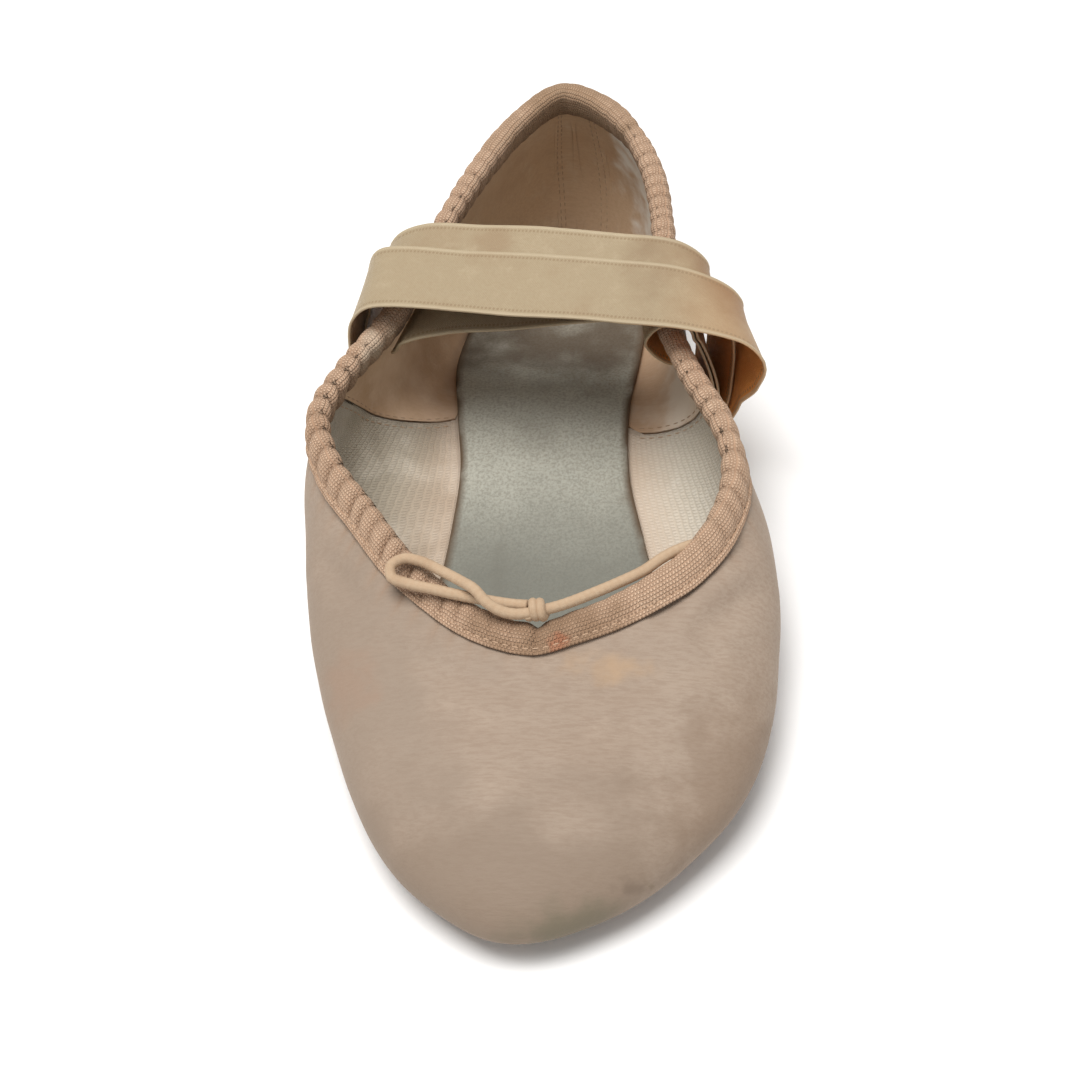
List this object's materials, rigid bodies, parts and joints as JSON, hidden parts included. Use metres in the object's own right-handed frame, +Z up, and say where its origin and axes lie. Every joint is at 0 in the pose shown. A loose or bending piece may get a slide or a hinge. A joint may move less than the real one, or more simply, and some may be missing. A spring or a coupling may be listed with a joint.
{
  "type": "soft ballet slipper",
  "caption": "Empty soft satin ballet slipper with a thin suede sole, a gathered drawstring casing round its collar and satin ribbons wound round its waist.",
  "frame": {"origin": "middle of the shoe's box, on the floor that the sole rests on", "axes": "+Z up, the toe points along -Y, and the big-toe side is +X"},
  "size_m": [0.1068, 0.2364, 0.0558],
  "materials": {
    "satin": "matte satin",
    "suede_sole": "suede",
    "suede_sock": "suede",
    "tape": "knitted tape",
    "ribbon": "satin ribbon",
    "cord": "braided cord"
  },
  "bodies": {
    "root": {"outsole": "suede_sole", "insole": "suede_sock", "upper": "satin", "casing": "tape", "ribbon_big_toe_side": "ribbon", "ribbon_little_toe_side": "ribbon", "drawstring_strand": "cord", "drawstring_loop": "cord", "drawstring_knot": "cord"}
  },
  "joints": []
}
